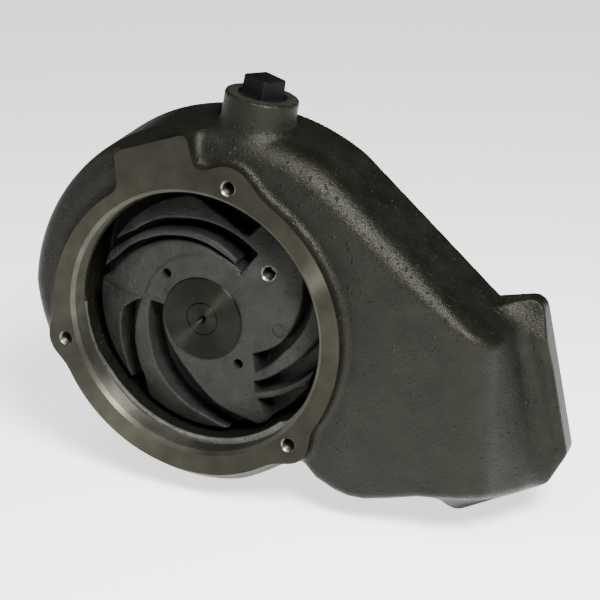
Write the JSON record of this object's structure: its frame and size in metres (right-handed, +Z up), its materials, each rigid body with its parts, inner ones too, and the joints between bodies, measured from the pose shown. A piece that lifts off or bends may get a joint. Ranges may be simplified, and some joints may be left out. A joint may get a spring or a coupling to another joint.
{
  "type": "engine water pump",
  "caption": "Gear-driven water pump for a large engine: cast scroll housing with an open inlet ring, curved-blade impeller, sealed bearing housing, drive gear and a side outlet flange.",
  "frame": {"origin": "on the shaft axis, in the plane of the rear face that bolts to the engine", "axes": "+Y along the shaft from the inlet ring to the drive gear, +X towards the outlet, +Z up through the plugged boss"},
  "size_m": [0.3736, 0.2, 0.2933],
  "materials": {
    "cast_housing": "matte",
    "bare_iron": "matte",
    "impeller_iron": "satin",
    "black_steel": "satin",
    "steel": "satin",
    "polished_steel": "polished",
    "brass": "satin",
    "rubber": "matte",
    "carbon": "matte",
    "ceramic": "polished",
    "fibre": "matte"
  },
  "bodies": {
    "housing": {"volute_housing": "cast_housing", "pipe_plug": "black_steel", "bearing_housing": "bare_iron", "housing_gasket": "fibre", "housing_bolts": "steel", "dowel_pins": "polished_steel", "weep_filter": "brass", "pilot_o_ring": "rubber", "seal_cup": "brass", "seal_bellows": "rubber", "seal_spring": "steel", "seal_carbon_face": "carbon", "oil_seal_case": "steel", "oil_seal_lip": "rubber", "front_bearing_outer_race": "polished_steel", "rear_bearing_outer_race": "polished_steel", "snap_ring": "black_steel"},
    "rotor": {"shaft": "steel", "impeller": "impeller_iron", "seal_seat": "ceramic", "seal_seat_boot": "rubber", "slinger": "rubber", "front_bearing_inner_race": "polished_steel", "rear_bearing_inner_race": "polished_steel", "bearing_spacer": "steel", "drive_gear": "steel", "gear_key": "steel", "gear_washer": "steel", "gear_nut": "black_steel"},
    "front_ball_set": {"front_bearing_balls": "polished_steel", "front_bearing_cage": "brass"},
    "rear_ball_set": {"rear_bearing_balls": "polished_steel", "rear_bearing_cage": "brass"}
  },
  "joints": [
    {"name": "shaft_spin", "type": "hinge", "parent": "housing", "child": "rotor", "pos_m": [0, 0, 0], "axis": [0, 1, 0], "continuous": true},
    {"name": "front_cage_spin", "type": "hinge", "parent": "housing", "child": "front_ball_set", "pos_m": [0, 0.0335, 0], "axis": [0, 1, 0], "continuous": true},
    {"name": "rear_cage_spin", "type": "hinge", "parent": "housing", "child": "rear_ball_set", "pos_m": [0, 0.0715, 0], "axis": [0, 1, 0], "continuous": true}
  ],
  "couplings": [
    {"joint": "front_cage_spin", "follows": "shaft_spin", "ratio": 0.3736},
    {"joint": "rear_cage_spin", "follows": "shaft_spin", "ratio": 0.3736}
  ]
}
